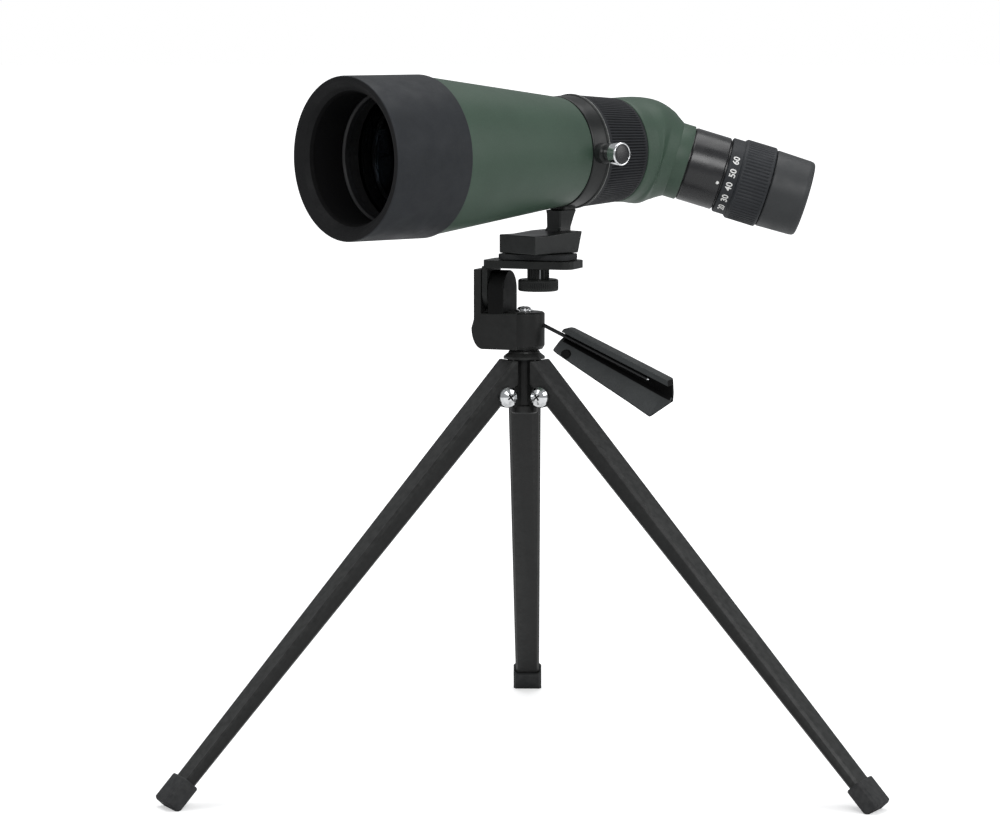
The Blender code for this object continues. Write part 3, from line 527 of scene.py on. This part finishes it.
skin("collar_post", SCOPE, [
    post_ring(4.9, 24.9, 126.8, 135.0, 0.8), post_ring(4.9, 27.2, 126.6, 135.0, 0.8), post_ring(5.3, 27.5, 124.1, 135.1, 0.8),
    post_ring(4.9, 29.4, 124.2, 134.4, 0.8), post_ring(4.7, 35.4, 124.2, 132.2, 0.8), post_ring(5.5, 37.4, 123.2, 131.4, 0.8),
    post_ring(6.6, 39.0, 122.0, 131.0, 0.8)],
    COLLAR, "collar", slot="black_plastic", edge=0.25, limit=25)
foot = slab("collar_foot", FOOT_SIDE, [
    (101.4, -FOOT_Y), (129.3, -FOOT_Y), (131.9, -36.9), (122.0, -37.2), (110.0, -38.3), (101.4, -38.3)], -12.4, 12.4, COLLAR, "collar", slot="black_plastic")
circle = arc(0, 0, 4.6, 0, 350, 35)
carve(foot, cutter("bore_tool", STUD, circle, 240.0, 253.2))
ease(foot, 0.55, 3, 20)
give("collar_thread_insert", BRASS)

turn("lock_screw", BOSS, [
    (0, 39.4), (4.4, 39.4, 0.1), (4.6, 40.1, 0.2), (5.0, 40.2, 0.25), (5.4, 39.7, 0.3), (5.4, 35.4, 0.4), (4.8, 34.7, 0.4), (3.2, 34.2, 0.3),
    (2.9, 33.6), (2.9, 30.4), (2.0, 30.4), (2.0, 23.7), (0, 23.7)],
    CHROME, "lock_screw", segs=96, stands_for=["collar_lock_screw"], sharp=35)
# A black disc in the chrome head's recess: painted shade for its dark middle.
turn("lock_screw_recess_shade", BOSS, [
    (0, 40.15), (3.0, 40.1), (4.2, 39.95, 0.2), (4.4, 39.3), (0, 39.3)], SATIN, "lock_screw", segs=64)

# ================================================================ elbow housing
SEG = 160
ELBOW_R = 27.0
BEND_START = CROSSING - ELBOW_R * math.tan(bend / 2)
BEND_END = ELBOW_R * math.tan(bend / 2)
HOUSING_S0 = 163.3


def elbow_ring(angle, radius, ahead=0.0):
    a = math.radians(angle)
    x = BEND_START + ELBOW_R * math.sin(a) + ahead * math.cos(a)
    y = -ELBOW_R * (1 - math.cos(a)) - ahead * math.sin(a)
    ring = []
    for i in range(SEG):
        t = 2 * math.pi * i / SEG
        u, w = radius * math.cos(t), radius * math.sin(t)
        ring.append((x + u * math.sin(a), y + u * math.cos(a), w))
    return ring


def bell(angle):
    """The housing's radius along the bend: full at the tube, drawn in to the eyepiece."""
    marks = ((0, 25.1), (9, 25.4), (18, 25.55), (27, 25.25), (36, 24.0), (45, 21.9))
    for (a0, r0), (a1, r1) in zip(marks, marks[1:]):
        if angle <= a1:
            break
    i = marks.index((a0, r0))
    before = marks[max(i - 1, 0)][1]
    after = marks[min(i + 2, len(marks) - 1)][1] if i + 2 < len(marks) else 2 * r1 - r0 - 0.4
    t = (angle - a0) / (a1 - a0)
    return 0.5 * (2 * r0 + (r1 - before) * t + (2 * before - 5 * r0 + 4 * r1 - after) * t * t + (3 * r0 - before - 3 * r1 + after) * t ** 3)


outer = [elbow_ring(0, 24.45, HOUSING_S0 - BEND_START), elbow_ring(0, 24.7, HOUSING_S0 + 0.15 - BEND_START),
         elbow_ring(0, 24.85, HOUSING_S0 + 0.5 - BEND_START), elbow_ring(0, 24.95, (HOUSING_S0 - BEND_START) * 0.5)]
outer += [elbow_ring(a, bell(a)) for a in [i * 2.5 for i in range(0, 19)]]
outer += [elbow_ring(45, 21.3, 12.2 - BEND_END), elbow_ring(45, 20.6, 13.1 - BEND_END), elbow_ring(45, 19.95, 14.1 - BEND_END), elbow_ring(45, 19.35, 15.0 - BEND_END),
          elbow_ring(45, 18.85, 15.9 - BEND_END), elbow_ring(45, 18.5, 16.5 - BEND_END), elbow_ring(45, 18.2, 16.8 - BEND_END), elbow_ring(45, 18.2, 22.6 - BEND_END),
          elbow_ring(45, 18.05, 22.9 - BEND_END), elbow_ring(45, 17.8, 23.0 - BEND_END)]
inner = [elbow_ring(45, 16.6, 23.0 - BEND_END), elbow_ring(45, 16.6, 16.0 - BEND_END), elbow_ring(45, 18.0), elbow_ring(36, 19.8), elbow_ring(27, 21.2),
         elbow_ring(18, 22.2), elbow_ring(9, 22.8), elbow_ring(0, 23.6, -0.3), elbow_ring(0, 23.6, HOUSING_S0 - BEND_START)]
skin("elbow_housing", ELBOW, outer + inner, GREEN, "scope", stands_for=["prism_housing"], slot="green_armour", closed=True, sharp=38)

# ================================================================ eyepiece
turn("barrel_shell", EYE, [
    (15.6, 75.5), (15.6, 41.1), (17.3, 41.1, 0.3), (17.8, 40.6, 0.3), (17.8, 24.2, 0.4), (17.4, 23.4, 0.3), (16.3, 23.4), (16.3, 16.6), (14.0, 16.6), (14.0, 75.5)],
    SATIN, "scope", segs=200, stands_for=["eyepiece_barrel"])
turn("zoom_grip", EYE, [
    (19.2, 63.5, 0.3), (19.65, 62.9, 0.3), (19.6, 48.9, 0.4), (19.0, 48.05, 0.3), (18.45, 47.9, 0.15), (18.4, 42.3, 0.2), (18.0, 41.9, 0.2), (15.9, 41.9), (15.9, 63.5)],
    ZOOM, "zoom_ring_body", stands_for=["zoom_ring"], ribs=(70, 0.5, 62.4, 49.4, 19.3), sharp=40)
turn("cup_shell", EYE, [
    (16.4, 82.9, 0.35), (17.5, 83.0, 0.4), (18.2, 82.2, 0.7), (18.45, 80.6, 1.0), (18.85, 64.6, 0.5), (18.5, 63.9, 0.4), (15.9, 63.9), (15.9, 76.4), (12.4, 76.4, 0.2),
    (12.4, 77.6, 0.4), (15.3, 80.5, 0.8), (15.9, 82.3, 0.4)],
    CUP, "eyecup_body", segs=200, stands_for=["eyecup"])
turn("eye_glass", EYE, [
    (0, 72.4), (8, 72.3), (13.7, 72.0), (13.7, 69.4), (11, 68.6), (8, 67.9), (4, 67.3), (0, 67.0)], GLASS, "scope", segs=96, stands_for=["eye_lens"], sharp=50)
turn("eye_retainer", EYE, [
    (13.7, 75.2, 0.1), (13.7, 72.7), (11.8, 72.7), (11.2, 75.2, 0.3)], RETAINER, "scope", segs=96, stands_for=["eye_lens_retainer"])

# the scale: numbers round the zoom ring, and the dot on the barrel they are read against
FACING = Vector((0.032, -0.993, 0.110))
FACING = (FACING - FACING.dot(EYE_AXIS) * EYE_AXIS).normalized()
FALL = EYE_AXIS.cross(FACING)


def on_ring(angle, t, radius):
    """The point and normal of the eyepiece's surface at an angle below the side that faces the front."""
    a = math.radians(angle)
    normal = math.cos(a) * FACING + math.sin(a) * FALL
    return CROSS + t * EYE_AXIS + radius * normal, normal


for i, value in enumerate((20, 30, 40, 50, 60)):
    centre = 20.0 + (2 - i) * 20.5
    lettering("dial_%d" % value, str(value), 4.3,
              lambda x, y, c=centre: on_ring(c - math.degrees(x / 18.42), 45.2 - y, 18.42), INK, "zoom_ring_body", bold=0.07)
dot = [(0.0, 0.0)] + [(0.75 * math.cos(2 * math.pi * k / 24), 0.75 * math.sin(2 * math.pi * k / 24)) for k in range(24)]
pts = [on_ring(20.0 - math.degrees(x / 17.8), 39.4 - y, 17.8) for x, y in dot]
top = [p + n * 0.08 for p, n in pts]
base = [p - n * 0.15 for p, n in pts]
faces = [(0, 1 + k, 1 + (k + 1) % 24) for k in range(24)]
faces += [tuple(25 + v for v in f[::-1]) for f in faces]
faces += [(1 + k, 26 + k, 26 + (k + 1) % 24, 1 + (k + 1) % 24) for k in range(24)]
piece("index_dot", top + base, faces, Matrix.Translation(PAN), INK, "scope", sharp=40)

# ================================================================ platform and camera screw
plate = slab("platform_plate", HEAD, rounded(-17.9, -11.0, 26.8, 11.0, 5.0), 238.9, 242.6, PLASTIC, "platform", slot="black_plastic")
carve(plate, cutter("plate_slot", HEAD, rounded(2.0, -3.5, 14.0, 3.5, 3.49), 236.0, 246.0))
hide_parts("tilt_platform")
ease(plate, 0.5, 3, 30)
ear = [(239.7, -9.4)] + [(227.8 - 9.4 * math.sin(math.radians(a)), -9.4 * math.cos(math.radians(a))) for a in range(0, 181, 6)] + [(239.7, 9.4)]
ear_piece = slab("platform_ear", ACROSS, ear, -18.0, -15.2, PLASTIC, "platform", slot="black_plastic")
carve(ear_piece, cutter("ear_tool", axes((0, 0, 227.8), HEAD_DIR, UP), arc(0, 0, 2.8, 0, 350, 35), -20.0, -13.2))
ease(ear_piece, 0.4, 3, 40)
pad = slab("platform_pad_top", HEAD, rounded(-10.6, -9.6, 24.2, 9.6, 4.0), 242.9, 245.6, SHOE, "platform", slot="black_rubber")
carve(pad, cutter("pad_slot", HEAD, rounded(1.6, -3.9, 14.4, 3.9, 3.89), 240.0, 248.0))
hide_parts("platform_pad")
ease(pad, 0.8, 4, 30)
turn("thumb_wheel", STUD, [
    (0, 252.2), (2.6, 252.2), (3.0, 251.8), (3.0, 238.5), (4.6, 238.5, 0.2), (4.7, 237.8), (4.7, 233.9, 0.3), (5.4, 233.6, 0.3), (9.0, 233.6, 0.3), (9.5, 233.0, 0.3), (9.5, 228.7, 0.3),
    (9.0, 228.1, 0.3), (6.5, 228.1, 0.2), (6.2, 228.5, 0.2), (0, 228.5)],
    PLASTIC, "camera_screw_body", stands_for=["camera_screw"], ribs=(60, 0.45, 232.8, 228.9, 9.2), sharp=40)
for k in range(18):
    a = 2 * math.pi * k / 18
    c, s = math.cos(a), math.sin(a)
    ring = [(4.55, -0.32), (5.05, -0.24), (5.2, 0.0), (5.05, 0.24), (4.55, 0.32)]
    # Rib 15 alone is chrome: a painted highlight on the thumb wheel's neck.
    skin("neck_rib_%02d" % k, STUD, [[(x * c - y * s, x * s + y * c, z) for x, y in ring] for z in (233.8, 238.2)], CHROME if k == 15 else PLASTIC, "camera_screw_body", slot="black_plastic", sharp=50)

# ================================================================ pan bracket
corner = arc(0, 0, 1, 270, 180, 14)
profile = [(0.0, 200.4)] + [(-17.7 + 5.5 * x, 210.4 + 10.0 * y) for x, y in corner] + [
    (-22.0, 214.5), (-22.0, 238.2), (-18.3, 238.2), (-18.3, 217.4), (-12.0, 217.4), (0.0, 218.0)]
bracket = slab("bracket_body", UPRIGHT, profile, -9.7, 9.7, ENAMEL, "bracket", slot="black_enamel")
carve(bracket, cutter("pan_tool", HEAD, arc(0, 0, 2.8, 0, 350, 35), 195.0, 225.0), cutter("tilt_tool", axes((0, 0, 227.8), HEAD_DIR, UP), arc(0, 0, 2.8, 0, 350, 35), -27.0, -9.0))
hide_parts("pan_bracket")
ease(bracket, 0.6, 3, 25)
# The lug is drawn in painted-shade black: the shade on the arm's inner side under the platform.
lug = [(214.0, -9.65), (227.8, -9.65)] + [
    (227.8 + 9.65 * math.sin(math.radians(a)), -9.65 * math.cos(math.radians(a))) for a in range(6, 175, 6)] + [(227.8, 9.65), (214.0, 9.65)]
lug_piece = slab("bracket_lug", ACROSS, lug, -14.9, -7.1, SHADE, "bracket", slot="black_enamel")
carve(lug_piece, cutter("lug_tool", axes((0, 0, 227.8), HEAD_DIR, UP), arc(0, 0, 2.8, 0, 350, 35), -27.0, -9.0))
ease(lug_piece, 0.5, 3, 40)
turn("bracket_boss", HEAD, [
    (2.8, 218.05), (8.9, 218.05, 0.4), (9.7, 217.3, 0.5), (9.7, 202.2, 0.4), (8.6, 200.4, 0.5), (2.8, 200.4)], ENAMEL, "bracket", segs=120)
give("tilt_pin", RETAINER)
turn("pan_washer_disc", HEAD, [
    (4.2, 218.9, 0.2), (4.2, 218.3, 0.1), (2.8, 218.3), (2.8, 218.9, 0.1)], CHROME, "bracket", segs=64, stands_for=["pan_washer"])
screw = turn("pan_screw_head", HEAD, [
    (0, 220.6), (1.4, 220.55, 0.6), (2.7, 220.2, 0.6), (3.3, 219.5, 0.3), (3.3, 219.2, 0.1), (2.4, 219.2), (2.4, 192.4), (0, 192.4)],
    CHROME, "hub", segs=64)
carve(screw, cutter("cross_a", HEAD, [(-1.9, -0.35), (1.9, -0.35), (1.9, 0.35), (-1.9, 0.35)], 219.6, 222.0),
      cutter("cross_b", HEAD, [(-0.35, -1.9), (0.35, -1.9), (0.35, 1.9), (-0.35, 1.9)], 219.6, 222.0))
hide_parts("pan_screw")

# ================================================================ handle
turn("handle_wire", HANDLE, [
    (0, 57.0), (0.5, 56.95, 0.2), (0.9, 56.5, 0.2), (0.9, -5.2, 0.2), (0.5, -5.6), (0, -5.6)], STEEL, "handle", segs=32, stands_for=["handle_rod"])
turn("handle_wire_tip", HANDLE, [
    (0, 57.6), (0.5, 57.5, 0.2), (0.78, 57.1, 0.2), (0.78, 56.6), (0, 56.6)], CHROME, "handle", segs=32)


def grip_ring(a, top, low, k, bow=0.0):
    pts = [
        (top, -4.6, 0.8), (top, 3.6, 0.5), (top - 0.5, 4.2, 0.3), (1.4, 4.2, 0.4), (1.4, -2.2, 0.5), (-2.0 - 1.6 * k, -2.2, 0.6),
        (-3.2 - 1.8 * k, 1.0, 0.6), (low + 0.6, 5.4 + 1.0 * k, 0.5), (low, 5.2 + 0.8 * k, 0.2), (low, 3.4 + 0.6 * k, 0.4),
        (-3.6 - 1.6 * k, -3.0, 0.8), (-2.0, -4.6, 0.8)]
    line = eased(pts, True, 3)
    return [(u + 0.6, w, a - bow * abs(u - (top + low) / 2) / (top - low) * 2) for u, w in line]


grips = [(10.6, 2.6, -8.0, 0.0, 0.0), (10.9, 3.2, -8.3, 0.0, 0.0), (12.0, 3.9, -8.6, 0.0, 0.0), (13.4, 4.3, -8.9, 0.0, 0.0), (26.0, 4.35, -10.4, 0.25, 0.0), (40.0, 4.4, -12.0, 0.5, 0.0),
         (54.0, 4.4, -13.5, 0.77, 0.0), (66.0, 4.4, -15.0, 1.0, 0.0), (70.9, 4.3, -14.9, 1.0, 4.4), (71.6, 3.9, -14.5, 1.0, 4.8)]
grip = skin("handle_shell", HANDLE, [grip_ring(*g) for g in grips], GRIP, "handle", stands_for=["handle_grip"], slot="black_plastic", sharp=34)
# The grip's groove gets the near-black lining: painted shade on its back wall.
grip.data.materials.append(LINING_AND_GROOVE_SHADE)
back = HANDLE.inverted()
for face in grip.data.polygons:
    at = back @ (face.center / MM)
    share = (at.z - 13.4) / 52.6
    if 12.0 < at.z < 70.5 and at.y < 3.9 and at.y > -2.7 and -2.6 - 1.6 * share < at.x < 2.3:
        face.material_index = 1
# The fork pin is drawn in painted-shade black.
for at in (17.0,):
    turn("fork_pin", Matrix.Translation(HANDLE.to_3x3() @ Vector((-6.4, 0, 0))) @ HANDLE @ Matrix.Translation((0, 5.4, at)) @ Matrix.Rotation(-math.pi / 2, 4, "X"), [
        (0, 0.5), (1.9, 0.5, 0.2), (2.1, 0.2, 0.1), (2.1, -2.0), (0, -2.0)], SHADE, "handle", segs=48)

# ================================================================ hub, legs, feet
give("hub", ENAMEL, 0.2)
for side in ("left", "right", "back"):
    give("leg_" + side, ENAMEL, 0.0)
    give("foot_" + side, SHOE, 0.0)
    give("leg_bolt_" + side, CHROME, 0.0, 50)
    give("leg_nut_" + side, CHROME)

# Two crossed slabs of painted-shade black on each front leg bolt's dome: a painted shade cross.
for side, azimuth in (("left", 209.4), ("right", 329.4)):
    a = math.radians(azimuth)
    along = Vector((-math.sin(a), math.cos(a), 0))
    along = along if along.y < 0 else -along
    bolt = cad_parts["leg_bolt_" + side]
    tip = max((bolt.matrix_world @ v.co for v in bolt.data.vertices), key=lambda v: v.dot(along)) / MM
    mark = axes(tip - PAN, along, UP)
    for k in range(2):
        slab("bolt_cross_shade_%s_%d" % (side, k), mark @ Matrix.Rotation(math.radians(35 + 90 * k), 4, "Z"),
             [(-1.7, -0.36), (1.7, -0.36), (1.7, 0.36), (-1.7, 0.36)], -0.5, 0.06, SHADE, "hub", slot="black_enamel")

# ================================================================ what shows only from close by
for node, mat in (("objective_spacer", INNER), ("body_core", INNER), ("focus_lens_cell", RETAINER), ("focus_lens", GLASS), ("erecting_prism", GLASS),
                  ("prism_plate_near", INNER), ("prism_plate_far", INNER), ("field_lens", GLASS), ("zoom_lens_cell", RETAINER), ("zoom_lens", GLASS)):
    give(node, mat)

# ================================================================ camera, floor, lights
scene = bpy.context.scene
scene.view_settings.view_transform = "Standard"
cam = bpy.data.objects.new("view", bpy.data.cameras.new("view"))
scene.collection.objects.link(cam)
fwd = Vector((-0.00740, 0.99302, -0.11774)).normalized()
right = Vector((0.99997, 0.00745, 0.0)).normalized()
cam.matrix_world = Matrix((right, right.cross(fwd), -fwd)).transposed().to_4x4()
cam.location = (Vector((0.0, -1536.7, 350.55)) + PAN) * MM
cam.data.sensor_width = 36.0
cam.data.lens = 117.58
cam.data.clip_start, cam.data.clip_end = 0.05, 100.0
scene.camera = cam

bm = bmesh.new()
bmesh.ops.create_circle(bm, cap_ends=True, segments=96, radius=30.0)
floor_mesh = bpy.data.meshes.new("floor")
bm.to_mesh(floor_mesh)
bm.free()
floor = bpy.data.objects.new("floor", floor_mesh)
scene.collection.objects.link(floor)
# The floor glows to the camera alone, so it reads white; the glow falls from 1.0 beyond 1.3 m to 0.46 within 0.3 m of
# the origin, a painted shade round the object.
paper = bpy.data.materials.new("paper")
paper.use_nodes = True
n, l = nodes_of(paper)
n.clear()
diffuse, glow, both, path, level, out = (n.new("ShaderNode" + k) for k in ("BsdfDiffuse", "Emission", "AddShader", "LightPath", "Math", "OutputMaterial"))
where, reach, rise = (n.new("ShaderNode" + k) for k in ("NewGeometry", "VectorMath", "MapRange"))
reach.operation = "LENGTH"
rise.inputs["From Min"].default_value, rise.inputs["From Max"].default_value = 0.3, 1.3
rise.inputs["To Min"].default_value, rise.inputs["To Max"].default_value = 0.46, 1.0
l.new(where.outputs["Position"], reach.inputs[0])
l.new(reach.outputs["Value"], rise.inputs["Value"])
diffuse.inputs["Color"].default_value = (0.82, 0.82, 0.82, 1)
level.operation = "MULTIPLY"
l.new(rise.outputs["Result"], level.inputs[1])
l.new(path.outputs["Is Camera Ray"], level.inputs[0])
l.new(level.outputs[0], glow.inputs["Strength"])
l.new(diffuse.outputs[0], both.inputs[0])
l.new(glow.outputs[0], both.inputs[1])
l.new(both.outputs[0], out.inputs["Surface"])
floor_mesh.materials.append(paper)

world = bpy.data.worlds.new("studio")
scene.world = world
world.use_nodes = True
n, l = world.node_tree.nodes, world.node_tree.links
n.clear()
path, soft, white, mixer, out = (n.new("ShaderNode" + k) for k in ("LightPath", "Background", "Background", "MixShader", "OutputWorld"))
soft.inputs["Color"].default_value = (0.96, 0.98, 1.0, 1)
soft.inputs["Strength"].default_value = 0.34
white.inputs["Color"].default_value = (1, 1, 1, 1)
white.inputs["Strength"].default_value = 1.0
l.new(path.outputs["Is Camera Ray"], mixer.inputs["Fac"])
l.new(soft.outputs[0], mixer.inputs[1])
l.new(white.outputs[0], mixer.inputs[2])
l.new(mixer.outputs[0], out.inputs["Surface"])


def lamp(name, at, aim, size, power, colour=(1, 1, 1)):
    data = bpy.data.lights.new(name, "AREA")
    data.shape = "RECTANGLE"
    data.size, data.size_y = size
    data.energy = power
    data.color = colour
    obj = bpy.data.objects.new(name, data)
    scene.collection.objects.link(obj)
    obj.location = at
    obj.rotation_euler = (Vector(aim) - Vector(at)).to_track_quat("-Z", "Y").to_euler()
    return obj


lamp("softbox_front", (0.35, -1.50, 1.05), (0.05, 0.0, 0.25), (0.9, 0.6), 11.0)
lamp("softbox_top", (0.0, 0.15, 1.7), (0.0, 0.0, 0.2), (1.6, 1.3), 16.0)
lamp("strip_left", (-1.3, -0.7, 0.8), (0.0, 0.0, 0.25), (0.4, 1.0), 2.5)
lamp("strip_right", (1.4, -0.3, 0.7), (0.0, 0.0, 0.25), (0.5, 1.0), 4.0)
